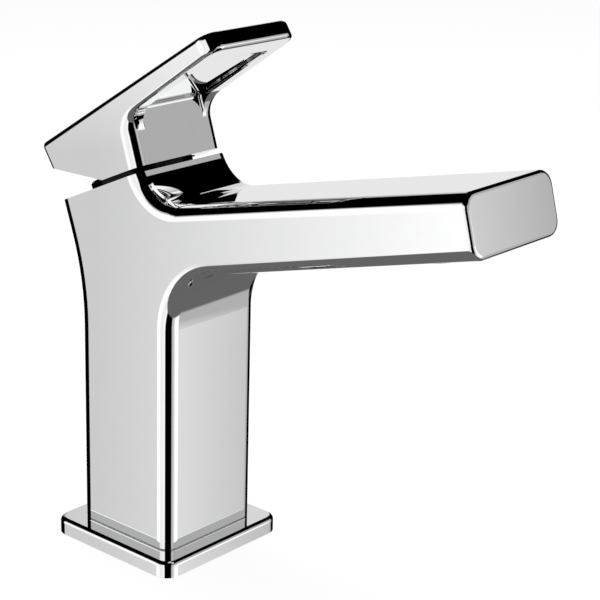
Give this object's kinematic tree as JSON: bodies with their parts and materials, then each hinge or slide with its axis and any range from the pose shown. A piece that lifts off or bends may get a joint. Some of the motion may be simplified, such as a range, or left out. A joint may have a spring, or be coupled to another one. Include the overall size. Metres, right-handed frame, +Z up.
{
  "type": "bathroom mixer faucet",
  "caption": "Square chromed single-lever basin mixer with a rising spout, tilted neck, ceramic disc cartridge and aerator.",
  "frame": {"origin": "centre of the base plate's underside, on the deck", "axes": "+Z up from the deck, +X along the spout"},
  "size_m": [0.1613, 0.05, 0.1644],
  "materials": {
    "chrome": "polished",
    "dark_chrome": "polished",
    "brass": "machined",
    "rubber": "matte",
    "cartridge_plastic": "moulded",
    "rotor_plastic": "moulded",
    "ceramic": "lapped",
    "steel": "machined",
    "grey_plastic": "moulded"
  },
  "bodies": {
    "fixed_body": {"body": "chrome", "base_plate": "chrome", "base_gasket": "rubber", "cartridge_base": "cartridge_plastic", "inlet_seals": "rubber", "fixed_disc": "ceramic", "cartridge_housing": "cartridge_plastic", "retaining_nut": "brass", "cover_ring": "dark_chrome", "aerator_housing": "chrome", "aerator_insert": "cartridge_plastic", "aerator_screen": "steel", "aerator_washer": "rubber"},
    "swivel": {"rotor": "rotor_plastic", "pivot_pin": "steel"},
    "lever": {"spindle": "brass", "handle": "chrome", "set_screw": "steel", "index_plug": "grey_plastic"},
    "slider": {"moving_disc": "ceramic", "disc_carrier": "rotor_plastic"}
  },
  "joints": [
    {"name": "temperature_swivel", "type": "hinge", "parent": "fixed_body", "child": "swivel", "pos_m": [-0.01046, 0, 0.1134], "axis": [-0.4131, 0, 0.9107], "range_deg": [-45, 45]},
    {"name": "flow_lift", "type": "hinge", "parent": "swivel", "child": "lever", "pos_m": [-0.00633, 0, 0.10429], "axis": [0, -1, 0], "range_deg": [0, 22]},
    {"name": "disc_slide", "type": "slide", "parent": "swivel", "child": "slider", "axis": [0.9107, 0, 0.4131], "range_m": [-0.0001, 0.0034]}
  ],
  "couplings": [
    {"joint": "disc_slide", "follows": "flow_lift", "m_per_rad": 0.0085}
  ]
}
